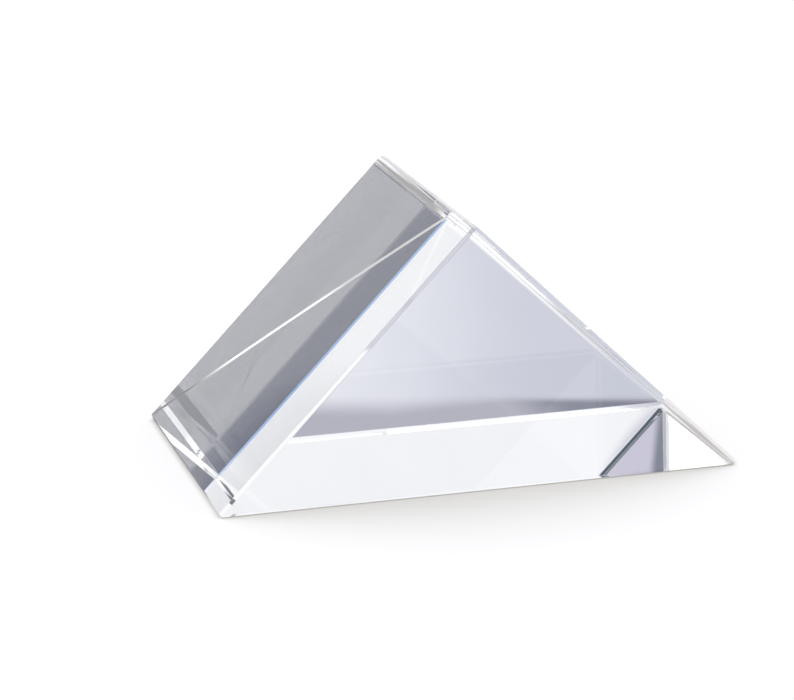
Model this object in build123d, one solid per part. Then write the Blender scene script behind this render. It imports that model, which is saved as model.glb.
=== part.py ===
from build123d import *
import os
from math import cos, radians, sin, tan

# Right angle prism: one block of optical glass, ground and polished from a single piece.
# Its section is an isosceles triangle with the right angle at the top, called the roof here.
# Millimetres. The origin is the centre of the hypotenuse face, which lies on Z = 0.
# X runs along the hypotenuse, Y along the prism, and +Z up to the roof edge.

# Form of the block
leg_width = 38.0           # each leg face, from the roof edge down to a base edge
prism_length = 38.0        # between the two triangular end faces
roof_angle = 90.0          # between the two leg faces, in degrees

# Protective bevels, each given as the width of the flat that is ground along the edge
roof_bevel = 0.45          # on the roof edge
base_bevel = 0.50          # on the two sharp base edges
end_bevel = 0.45           # on the outlines of the two end faces

# Corners are touched on the wheel after the edges
corner_blunting = 0.08     # taken off past the point where the bevels of a corner meet

# Sizes of the section that follow from the form
half_base = leg_width * sin(radians(roof_angle / 2))
roof_height = leg_width * cos(radians(roof_angle / 2))


def sharp_block():
    """The block before any bevel, drawn out both ways from the middle of its length."""
    with BuildPart() as block:
        with BuildSketch(Plane.XZ):
            with BuildLine():
                Polyline((-half_base, 0), (half_base, 0), (0, roof_height), close=True)
            make_face()
        extrude(amount=prism_length / 2, both=True)
    return block.part


def normals_at(block, place, face_count):
    """Outward normals of the faces that meet at an edge or a corner of the sharp block."""
    faces = block.faces().sort_by_distance(place.center())[:face_count]
    return [face.normal_at() for face in faces]


def edge_flat(block, edge, width):
    """Plane of a flat of this width, tilted evenly between the two faces that meet at the edge."""
    first, second = normals_at(block, edge, 2)
    edge_angle = 180.0 - first.get_angle(second)
    outward = (first + second).normalized()
    depth = width / 2 / tan(radians(edge_angle / 2))
    return Plane(origin=edge.center() - outward * depth, z_dir=outward)


def corner_flat(block, bevelled, corner):
    """Plane of the small facet on a corner, square to the way that the corner points."""
    outward = sum(normals_at(block, corner, 3), Vector()).normalized()
    tip = max((vertex.center() for vertex in bevelled.vertices()), key=outward.dot)
    return Plane(origin=tip - outward * corner_blunting, z_dir=outward)


def grind(block, flats):
    """Takes off what stands proud of each flat."""
    for flat in flats:
        block = split(block, bisect_by=flat, keep=Keep.BOTTOM)
    return block


def prism_block():
    """The sharp block with its edges bevelled, then its corners blunted."""
    sharp = sharp_block()
    *base_edges, roof_edge = sharp.edges().filter_by(Axis.Y).sort_by(Axis.Z)
    end_edges = sharp.edges().filter_by(Axis.Y, reverse=True)
    flats = [edge_flat(sharp, roof_edge, roof_bevel)]
    flats += [edge_flat(sharp, edge, base_bevel) for edge in base_edges]
    flats += [edge_flat(sharp, edge, end_bevel) for edge in end_edges]
    bevelled = grind(sharp, flats)
    return grind(bevelled, [corner_flat(sharp, bevelled, corner) for corner in sharp.vertices()])


os.makedirs("parts", exist_ok=True)
export_step(prism_block(), "parts/prism_block.step")
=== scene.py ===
from math import cos, radians, sin

import bpy
from mathutils import Matrix, Vector


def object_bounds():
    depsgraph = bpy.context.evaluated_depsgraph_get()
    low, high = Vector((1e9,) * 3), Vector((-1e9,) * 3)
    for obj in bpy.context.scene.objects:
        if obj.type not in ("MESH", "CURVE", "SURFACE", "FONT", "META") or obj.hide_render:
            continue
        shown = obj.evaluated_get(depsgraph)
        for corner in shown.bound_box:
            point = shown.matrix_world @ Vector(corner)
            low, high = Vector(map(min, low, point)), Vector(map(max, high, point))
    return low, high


# A right angle prism of clear glass on a pale floor. The camera sees white past it, and the
# glass shows a room that is given by direction. Lengths are in metres. Where a name ends in
# FADE, a mask goes smoothly from 0 at the first value to 1 at the second.

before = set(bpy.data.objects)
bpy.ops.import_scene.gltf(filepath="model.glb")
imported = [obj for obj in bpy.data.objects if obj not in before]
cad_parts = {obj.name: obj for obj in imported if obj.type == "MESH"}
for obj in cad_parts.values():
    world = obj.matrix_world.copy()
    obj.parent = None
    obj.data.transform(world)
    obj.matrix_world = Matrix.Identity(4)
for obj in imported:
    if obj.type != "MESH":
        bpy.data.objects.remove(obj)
cad_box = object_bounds()
scene = bpy.context.scene
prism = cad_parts["prism_block"]

MM = 0.001
HALF_X, HALF_Y = cad_box[1][0], cad_box[1][1]     # half the block's footprint
WHITE = (1, 1, 1, 1)

# Camera, at the photograph's viewing angle
HEADING = radians(13.65)         # turned from +Y towards +X
TILT = radians(14.63)            # looking down
ROLL = radians(-1.88)
DISTANCE = 354.7 * MM            # from the aim point
AIM_RIGHT, AIM_UP = -3.83 * MM, 9.42 * MM
LENS_MM, SENSOR_MM = 154.8, 36.0
CLIP_START, CLIP_END = 0.01, 50

# Glass
GLASS_IOR = 1.517
LEG_TILT = radians(45)           # of a leg face's normal
GROUND_FADE = (0.99, 0.97)       # cosine between a facet's normal and the nearest polished face's
ROOF_FADE = (0.97, 0.99)         # height of the facet's normal
ARRIS_RADIUS = 0.10 * MM         # the softening where two facets meet
ARRIS_SAMPLES = 4
ARRIS_FADE = (0.995, 0.95)       # cosine between the softened normal and the flat one
SMEAR_COLOUR = (0.955, 0.960, 0.965, 1)
ARRIS_COLOUR = (0.45, 0.42, 0.42, 1)
ROOF_SHADE_COLOUR = (0.50, 0.50, 0.51, 1)    # painted shade: the roof bevel, which faces up, is darker than the others
WORN_COLOUR = (0.84, 0.84, 0.84, 1)
GROUND_ROUGHNESS, GRAIN_ROUGHNESS, WORN_ROUGHNESS = 0.015, 0.02, 0.35

# Noise on the glass: its scale per metre, its detail, and the values between which it fades in
SMEARS = (70, 4, 0.45, 0.75)
DARK_ARRIS_STRETCHES = (70, 2, 0.42, 0.58)
CHIPS = (700, 3, 0.56, 0.66)
GRAIN_SCALE, GRAIN_DETAIL = 1600, 2

# Specks of dust. Space is divided into cells, each about one point, and some have a speck there
DUST_SCALE = 210                 # cells per metre
SPECK_FADE = (0.030, 0.015)      # distance from the cell's point, as a share of a cell
DUSTY_FADE = (0.70, 0.95)        # random value of the cell

# Floor
FLOOR_SIZE = 6.0
FLOOR_GAP = 0.05 * MM
FLOOR_COLOUR = (0.76, 0.78, 0.84, 1)
FLOOR_GLOW = (0.335, 0.315, 0.265, 1)      # for the camera only

# Light caught under the block, dimmer at its sides and under the right of its rear edge
UNDER_GLOW = (1.25, 1.24, 1.26, 1)
UNDER_FADE = (0.9 * MM, 0.3 * MM)          # distance past the block's footprint
LEFT_FADE, RIGHT_FADE = (-20 * MM, -9 * MM), (18 * MM, 11 * MM)
CORNER_X_FADE, CORNER_Y_FADE = (-12 * MM, -20 * MM), (-9 * MM, -14 * MM)    # a bright corner
DIM_SHARE = 0.15
REAR_FADE = (17.2 * MM, 18.0 * MM)
REAR_RIGHT_FADE = (3 * MM, 10 * MM)
REAR_RIGHT_LOSS = 0.55

# Contact shade by the rear right corner
SHADE_COLOUR = (0.21, 0.22, 0.285, 1)
SHADE_LEFT_FADE, SHADE_RIGHT_FADE = (10 * MM, 18 * MM), (36 * MM, 30 * MM)
SHADE_FRONT_FADE = (10 * MM, 16 * MM)
SHADE_SLANT = (0.345, 0.938, 0)            # the way across its slanting rear border
SHADE_REAR_FADE = (30.4 * MM, 27.4 * MM)   # along that way

# Room, by the height of a direction
TABLE_COLOUR = (0.68, 0.69, 0.77, 1)
WALL_COLOUR = (0.90, 0.91, 0.94, 1)
WALL_FADE = (-0.12, 0.10)
CEILING_COLOUR = (1.12, 1.12, 1.12, 1)
CEILING_FADE = (0.5, 0.9)

# Soft round cards in the room. Each has its heading from +Y towards +X, its height above the
# horizon, the two angles from its middle between which it fades out, in degrees, and a colour
CARDS = {
    "table_near": (11.5, -15.5, 1.0, 4.8, (0.83, 0.84, 0.905)),
    "table_right": (20.3, -15.5, 0.0, 7.6, (0.58, 0.60, 0.695)),
    "table_left": (-17, -17, 3, 6, (0.59, 0.575, 0.70)),
    "front_dark": (180, 13, 20, 32, (0.00, 0.012, 0.07)),
    "back_right": (15, 14, 7, 15, (0.94, 0.95, 0.98)),
    "back_left": (-14, 13, 6, 12, (1.33, 1.32, 1.30)),
    "corner_grey": (-18.5, 12.5, 2, 3.5, (0.42, 0.45, 0.49)),
    "back_high": (-4, 36, 8, 16, (0.62, 0.64, 0.72)),
    "right_high": (35, 33, 8, 16, (1.05, 1.05, 1.05)),
    "right_blue": (46, 36, 3, 6, (0.12, 0.35, 0.80)),
    "right_level": (30, -4, 4, 8, (1.00, 1.00, 1.00)),
    "sill": (20.5, 18.3, 3.30, 3.62, (0.55, 0.55, 0.66)),
    "left_high": (-122, 41, 9, 14, (0.13, 0.15, 0.18)),
    "overhead_left": (-133, 66, 8, 15, (1.70, 1.70, 1.70)),
    "horizon_left": (-38, 2, 5, 9, (0.87, 0.85, 0.83)),
    "horizon_grey": (-25, 1, 4, 8, (0.55, 0.53, 0.52)),
    "horizon_dark": (-3, -3, 2.5, 5.5, (0.05, 0.08, 0.12)),
    "horizon_front": (-129, 1.3, 4, 9, (0.66, 0.68, 0.76)),
}

# Dim stripe on the table, under a straight border that is softer towards the left
STRIPE_COLOUR = (0.465, 0.465, 0.54, 1)
STRIPE_SPOT = (15, -17, 4, 7)                           # a place and two angles, as for a card
STRIPE_BORDER = ((13.68, -15.43), (17.67, -15.52))      # two of its points, in degrees
STRIPE_START = -0.0012
STRIPE_SOFT_LEFT, STRIPE_SOFT_RIGHT = (0.225, 0.0062), (0.258, 0.0018)    # X, and softness there

# Border of the table, in a plane near that of the right leg face, with white past it
PAST_TABLE_COLOUR = (1.05, 1.05, 1.05, 1)
TABLE_END_NORMAL = (0.695, -0.017, 0.719)
TABLE_END_FADE = (-0.0008, 0.0004)
TABLE_HEIGHT_FADE = (-0.10, -0.16)

# Paths of light through the glass
MOST_BOUNCES, MOST_GLASS_BOUNCES = 32, 24


class Graph:
    """Adds nodes to one tree. An input may be a number, a colour or another node's output."""

    def __init__(self, tree):
        self.nodes, self.links = tree.nodes, tree.links
        self.nodes.clear()

    def add(self, kind, inputs=None, **settings):
        node = self.nodes.new("ShaderNode" + kind)
        for name, value in settings.items():
            setattr(node, name, value)
        for key, value in (inputs or {}).items():
            if isinstance(value, bpy.types.NodeSocket):
                self.links.new(value, node.inputs[key])
            else:
                node.inputs[key].default_value = value
        return node

    def math(self, operation, *values):
        return self.add("Math", dict(enumerate(values)), operation=operation).outputs[0]

    def dot(self, first, second):
        inputs = {0: first, 1: second}
        return self.add("VectorMath", inputs, operation="DOT_PRODUCT").outputs["Value"]

    def split(self, vector):
        return self.add("SeparateXYZ", {0: vector}).outputs

    def fade(self, value, start, end):
        """0 before start and 1 after end, with a smooth step between them."""
        limits = {"Value": value, "From Min": start, "From Max": end}
        return self.add("MapRange", limits, interpolation_type="SMOOTHSTEP").outputs[0]

    def mix(self, factor, first, second):
        return self.add("Mix", {0: factor, 6: first, 7: second}, data_type="RGBA").outputs[2]

    def mix_value(self, factor, first, second):
        return self.add("Mix", {0: factor, 2: first, 3: second}).outputs[0]

    def mix_shader(self, factor, first, second):
        return self.add("MixShader", {0: factor, 1: first, 2: second}).outputs[0]

    def noise(self, place, scale, detail):
        return self.add("TexNoise", {"Vector": place, "Scale": scale, "Detail": detail}).outputs[0]

    def blotches(self, place, scale, detail, start, end):
        """Noise that fades in between two of its values."""
        return self.fade(self.noise(place, scale, detail), start, end)


def direction(heading, height):
    """The way to a place in the room, from its heading and height in degrees."""
    heading, height = radians(heading), radians(height)
    return (sin(heading) * cos(height), cos(heading) * cos(height), sin(height))


def make_camera():
    forward = Vector((sin(HEADING) * cos(TILT), cos(HEADING) * cos(TILT), -sin(TILT)))
    level = Vector((cos(HEADING), -sin(HEADING), 0))
    upright = level.cross(forward)
    right = level * cos(ROLL) + upright * sin(ROLL)
    up = upright * cos(ROLL) - level * sin(ROLL)
    data = bpy.data.cameras.new("camera")
    data.lens, data.sensor_width = LENS_MM, SENSOR_MM
    data.clip_start, data.clip_end = CLIP_START, CLIP_END
    camera = bpy.data.objects.new("camera", data)
    place = right * AIM_RIGHT + up * AIM_UP - forward * DISTANCE
    camera.matrix_world = Matrix.Translation(place) @ Matrix((right, up, -forward)).transposed().to_4x4()
    scene.collection.objects.link(camera)
    scene.camera = camera


def bevel_masks(graph, normal, backfacing):
    """Masks of the ground bevels and of the roof bevel alone. A ground bevel faces the way of
    neither an end, a leg nor the hypotenuse. Seen from inside the glass a normal is turned
    round, so its height is turned back."""
    facing = graph.split(normal)
    up = graph.math("MULTIPLY", facing["Z"], graph.math("MULTIPLY_ADD", backfacing, -2, 1))
    down = graph.math("MULTIPLY", up, -1)
    end = graph.math("ABSOLUTE", facing["Y"])
    leg = graph.math("ADD", graph.math("ABSOLUTE", facing["X"]), up)
    leg = graph.math("MULTIPLY", leg, sin(LEG_TILT))
    nearest = graph.math("MAXIMUM", graph.math("MAXIMUM", end, leg), down)
    return graph.fade(nearest, *GROUND_FADE), graph.fade(up, *ROOF_FADE)


def wear_mask(graph, place, arris):
    """Small chips along the arrises, and a few specks of dust."""
    chips = graph.math("MULTIPLY", arris, graph.blotches(place, *CHIPS))
    cell = graph.add("TexVoronoi", {"Vector": place, "Scale": DUST_SCALE}).outputs
    dusty = graph.fade(graph.split(cell["Color"])["X"], *DUSTY_FADE)
    speck = graph.math("MULTIPLY", graph.fade(cell["Distance"], *SPECK_FADE), dusty)
    return graph.math("MAXIMUM", chips, speck)


def make_glass():
    material = bpy.data.materials.new("optical_glass")
    material.use_nodes = True
    graph = Graph(material.node_tree)
    coord = graph.add("TexCoord").outputs
    place = coord["Object"]
    geometry = graph.add("NewGeometry").outputs
    ground, roof = bevel_masks(graph, coord["Normal"], geometry["Backfacing"])

    # The arrises are where the softened normal leaves the flat one
    soft = graph.add("Bevel", {"Radius": ARRIS_RADIUS}, samples=ARRIS_SAMPLES).outputs[0]
    arris = graph.fade(graph.dot(soft, geometry["True Normal"]), *ARRIS_FADE)
    worn = wear_mask(graph, place, arris)

    # The ground bevels have a fine grain
    grain = graph.noise(place, GRAIN_SCALE, GRAIN_DETAIL)
    grain = graph.math("MULTIPLY_ADD", grain, GRAIN_ROUGHNESS, GROUND_ROUGHNESS)
    rough = graph.mix_value(worn, graph.math("MULTIPLY", ground, grain), WORN_ROUGHNESS)

    # The tint has faint smears all over, darker stretches on the arrises, and painted shade on the roof
    # bevel
    # Darker in stretches along the arrises
    darker_arris = graph.math("MULTIPLY", arris, graph.blotches(place, *DARK_ARRIS_STRETCHES))
    tint_and_shade = graph.mix(graph.blotches(place, *SMEARS), WHITE, SMEAR_COLOUR)
    tint_and_shade = graph.mix(darker_arris, tint_and_shade, ARRIS_COLOUR)
    # Painted shade on the roof bevel
    tint_and_shade = graph.mix(roof, tint_and_shade, ROOF_SHADE_COLOUR)
    tint_and_shade = graph.mix(worn, tint_and_shade, WORN_COLOUR)
    shader = graph.add("BsdfPrincipled", {
        "Base Color": tint_and_shade,
        "Transmission Weight": 1.0,
        "IOR": GLASS_IOR,
        "Roughness": rough,
        "Normal": soft,
    })
    graph.add("OutputMaterial", {"Surface": shader.outputs[0]})
    return material


def footprint_mask(graph, x, y):
    """The floor under the block."""
    past_side = graph.math("SUBTRACT", graph.math("ABSOLUTE", x), HALF_X)
    past_end = graph.math("SUBTRACT", graph.math("ABSOLUTE", y), HALF_Y)
    return graph.fade(graph.math("MAXIMUM", past_side, past_end), *UNDER_FADE)


def caught_light(graph, x, y):
    """How much of the full glow each place under the block has."""
    past_left = graph.fade(x, *LEFT_FADE)
    middle = graph.math("MULTIPLY", past_left, graph.fade(x, *RIGHT_FADE))
    corner = graph.math("MULTIPLY", graph.fade(x, *CORNER_X_FADE), graph.fade(y, *CORNER_Y_FADE))
    bright = graph.math("MAXIMUM", middle, corner)
    inner = graph.math("MULTIPLY_ADD", bright, 1 - DIM_SHARE, DIM_SHARE)
    kept = graph.math("MULTIPLY_ADD", graph.fade(x, *REAR_RIGHT_FADE), -REAR_RIGHT_LOSS, 1)
    rear = graph.math("MULTIPLY", past_left, kept)
    return graph.mix_value(graph.fade(y, *REAR_FADE), inner, rear)


def contact_shade(graph, place, x, y):
    """A dark patch by the rear right corner, with a slanting rear border."""
    across = graph.math("MULTIPLY", graph.fade(x, *SHADE_LEFT_FADE), graph.fade(x, *SHADE_RIGHT_FADE))
    before_rear = graph.fade(graph.dot(place, SHADE_SLANT), *SHADE_REAR_FADE)
    depth = graph.math("MULTIPLY", before_rear, graph.fade(y, *SHADE_FRONT_FADE))
    return graph.math("MULTIPLY", across, depth)


def make_floor():
    bpy.ops.mesh.primitive_plane_add(size=FLOOR_SIZE, location=(0, 0, -FLOOR_GAP))
    floor = bpy.context.object
    floor.name = "floor"
    material = bpy.data.materials.new("floor")
    material.use_nodes = True
    graph = Graph(material.node_tree)
    place = graph.add("TexCoord").outputs["Object"]
    sides = graph.split(place)
    x, y = sides["X"], sides["Y"]
    path = graph.add("LightPath").outputs

    # What the camera sees of the floor: lit paper that keeps the block's shadow
    paper = graph.add("BsdfDiffuse", {"Color": FLOOR_COLOUR}).outputs[0]
    glow = graph.add("Emission", {"Color": FLOOR_GLOW, "Strength": path["Is Camera Ray"]}).outputs[0]
    lit = graph.add("AddShader", {0: paper, 1: glow}).outputs[0]

    # What the glass shows there: the room past the floor, a contact shade, and the light
    # caught under the block
    clear = graph.add("BsdfTransparent").outputs[0]
    shade = graph.add("Emission", {"Color": SHADE_COLOUR}).outputs[0]
    caught = graph.add("Emission", {"Color": UNDER_GLOW, "Strength": caught_light(graph, x, y)}).outputs[0]
    shown = graph.mix_shader(contact_shade(graph, place, x, y), clear, shade)
    shown = graph.mix_shader(footprint_mask(graph, x, y), shown, caught)
    through_glass = graph.math("MAXIMUM", path["Is Glossy Ray"], path["Is Transmission Ray"])
    graph.add("OutputMaterial", {"Surface": graph.mix_shader(through_glass, lit, shown)})
    floor.data.materials.append(material)


def stripe_mask(graph, way):
    """What lies under the stripe's border."""
    left, right = (Vector(direction(*point)) for point in STRIPE_BORDER)
    border = left.cross(right).normalized()
    softness = graph.add("MapRange", {
        "Value": graph.split(way)["X"],
        "From Min": STRIPE_SOFT_LEFT[0],
        "From Max": STRIPE_SOFT_RIGHT[0],
        "To Min": STRIPE_SOFT_LEFT[1],
        "To Max": STRIPE_SOFT_RIGHT[1],
    }).outputs[0]
    return graph.fade(graph.dot(way, tuple(border)), STRIPE_START, softness)


def make_world():
    world = bpy.data.worlds.new("studio")
    scene.world = world
    world.use_nodes = True
    graph = Graph(world.node_tree)
    way = graph.add("TexCoord").outputs["Generated"]
    height = graph.split(way)["Z"]

    def spot(heading, tall, inner, outer):
        """A soft round mask about one direction."""
        return graph.fade(graph.dot(way, direction(heading, tall)), cos(radians(outer)), cos(radians(inner)))

    room = graph.mix(graph.fade(height, *WALL_FADE), TABLE_COLOUR, WALL_COLOUR)
    room = graph.mix(graph.fade(height, *CEILING_FADE), room, CEILING_COLOUR)
    for *card, colour in CARDS.values():
        room = graph.mix(spot(*card), room, (*colour, 1))

    stripe = graph.math("MULTIPLY", stripe_mask(graph, way), spot(*STRIPE_SPOT))
    room = graph.mix(stripe, room, STRIPE_COLOUR)

    past_end = graph.fade(graph.dot(way, TABLE_END_NORMAL), *TABLE_END_FADE)
    past_table = graph.math("MULTIPLY", past_end, graph.fade(height, *TABLE_HEIGHT_FADE))
    room = graph.mix(past_table, room, PAST_TABLE_COLOUR)

    seen = graph.add("LightPath").outputs["Is Camera Ray"]
    background = graph.add("Background", {"Color": graph.mix(seen, room, WHITE)})
    graph.add("OutputWorld", {"Surface": background.outputs[0]})


make_camera()
glass = make_glass()
for slot in prism.material_slots:
    slot.material = glass
make_floor()
make_world()

scene.view_settings.view_transform = "Standard"
scene.cycles.max_bounces = MOST_BOUNCES
scene.cycles.glossy_bounces = MOST_GLASS_BOUNCES
scene.cycles.transmission_bounces = MOST_GLASS_BOUNCES
scene.cycles.caustics_refractive = False        # so that the block keeps its shadow
scene.cycles.denoising_input_passes = "RGB"     # the other passes leave a grain in the glass
